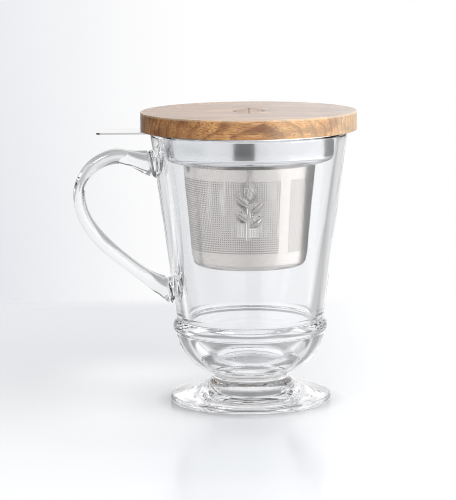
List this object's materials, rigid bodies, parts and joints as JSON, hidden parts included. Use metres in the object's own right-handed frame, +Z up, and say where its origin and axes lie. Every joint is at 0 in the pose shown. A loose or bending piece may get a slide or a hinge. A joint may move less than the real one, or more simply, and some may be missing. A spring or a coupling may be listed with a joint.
{
  "type": "lidded tea mug with infuser",
  "caption": "Footed glass tea mug with a bowed handle, a lift-out steel infuser with a perforated tapered basket and finger tab, and a loose wooden lid with a soft seal.",
  "frame": {"origin": "centre of the foot's ground ring, on the surface that the mug stands on", "axes": "+Z up along the axis of the mug, -X towards the handle and the infuser's finger tab"},
  "size_m": [0.1225, 0.093, 0.126],
  "materials": {
    "clear_glass": "clear pressed glass, fire polished",
    "ring_steel": "flat stainless strip, fine brushed",
    "collar_steel": "drawn stainless sheet, turned finish",
    "basket_steel": "perforated stainless sheet, satin",
    "lid_wood": "sanded hardwood, oiled",
    "seal_silicone": "translucent white silicone"
  },
  "bodies": {
    "mug": {"glass_mug": "clear_glass", "handle": "clear_glass"},
    "infuser": {"rim_ring": "ring_steel", "collar": "collar_steel", "basket_wall": "basket_steel", "basket_cap": "basket_steel"},
    "lid": {"lid_board": "lid_wood", "lid_seal": "seal_silicone"}
  },
  "joints": [
    {"name": "infuser_lift", "type": "slide", "parent": "mug", "child": "infuser", "axis": [0, 0, 1], "range_m": [0, 0.07]},
    {"name": "lid_lift", "type": "slide", "parent": "infuser", "child": "lid", "axis": [0, 0, 1], "range_m": [0, 0.04]}
  ]
}
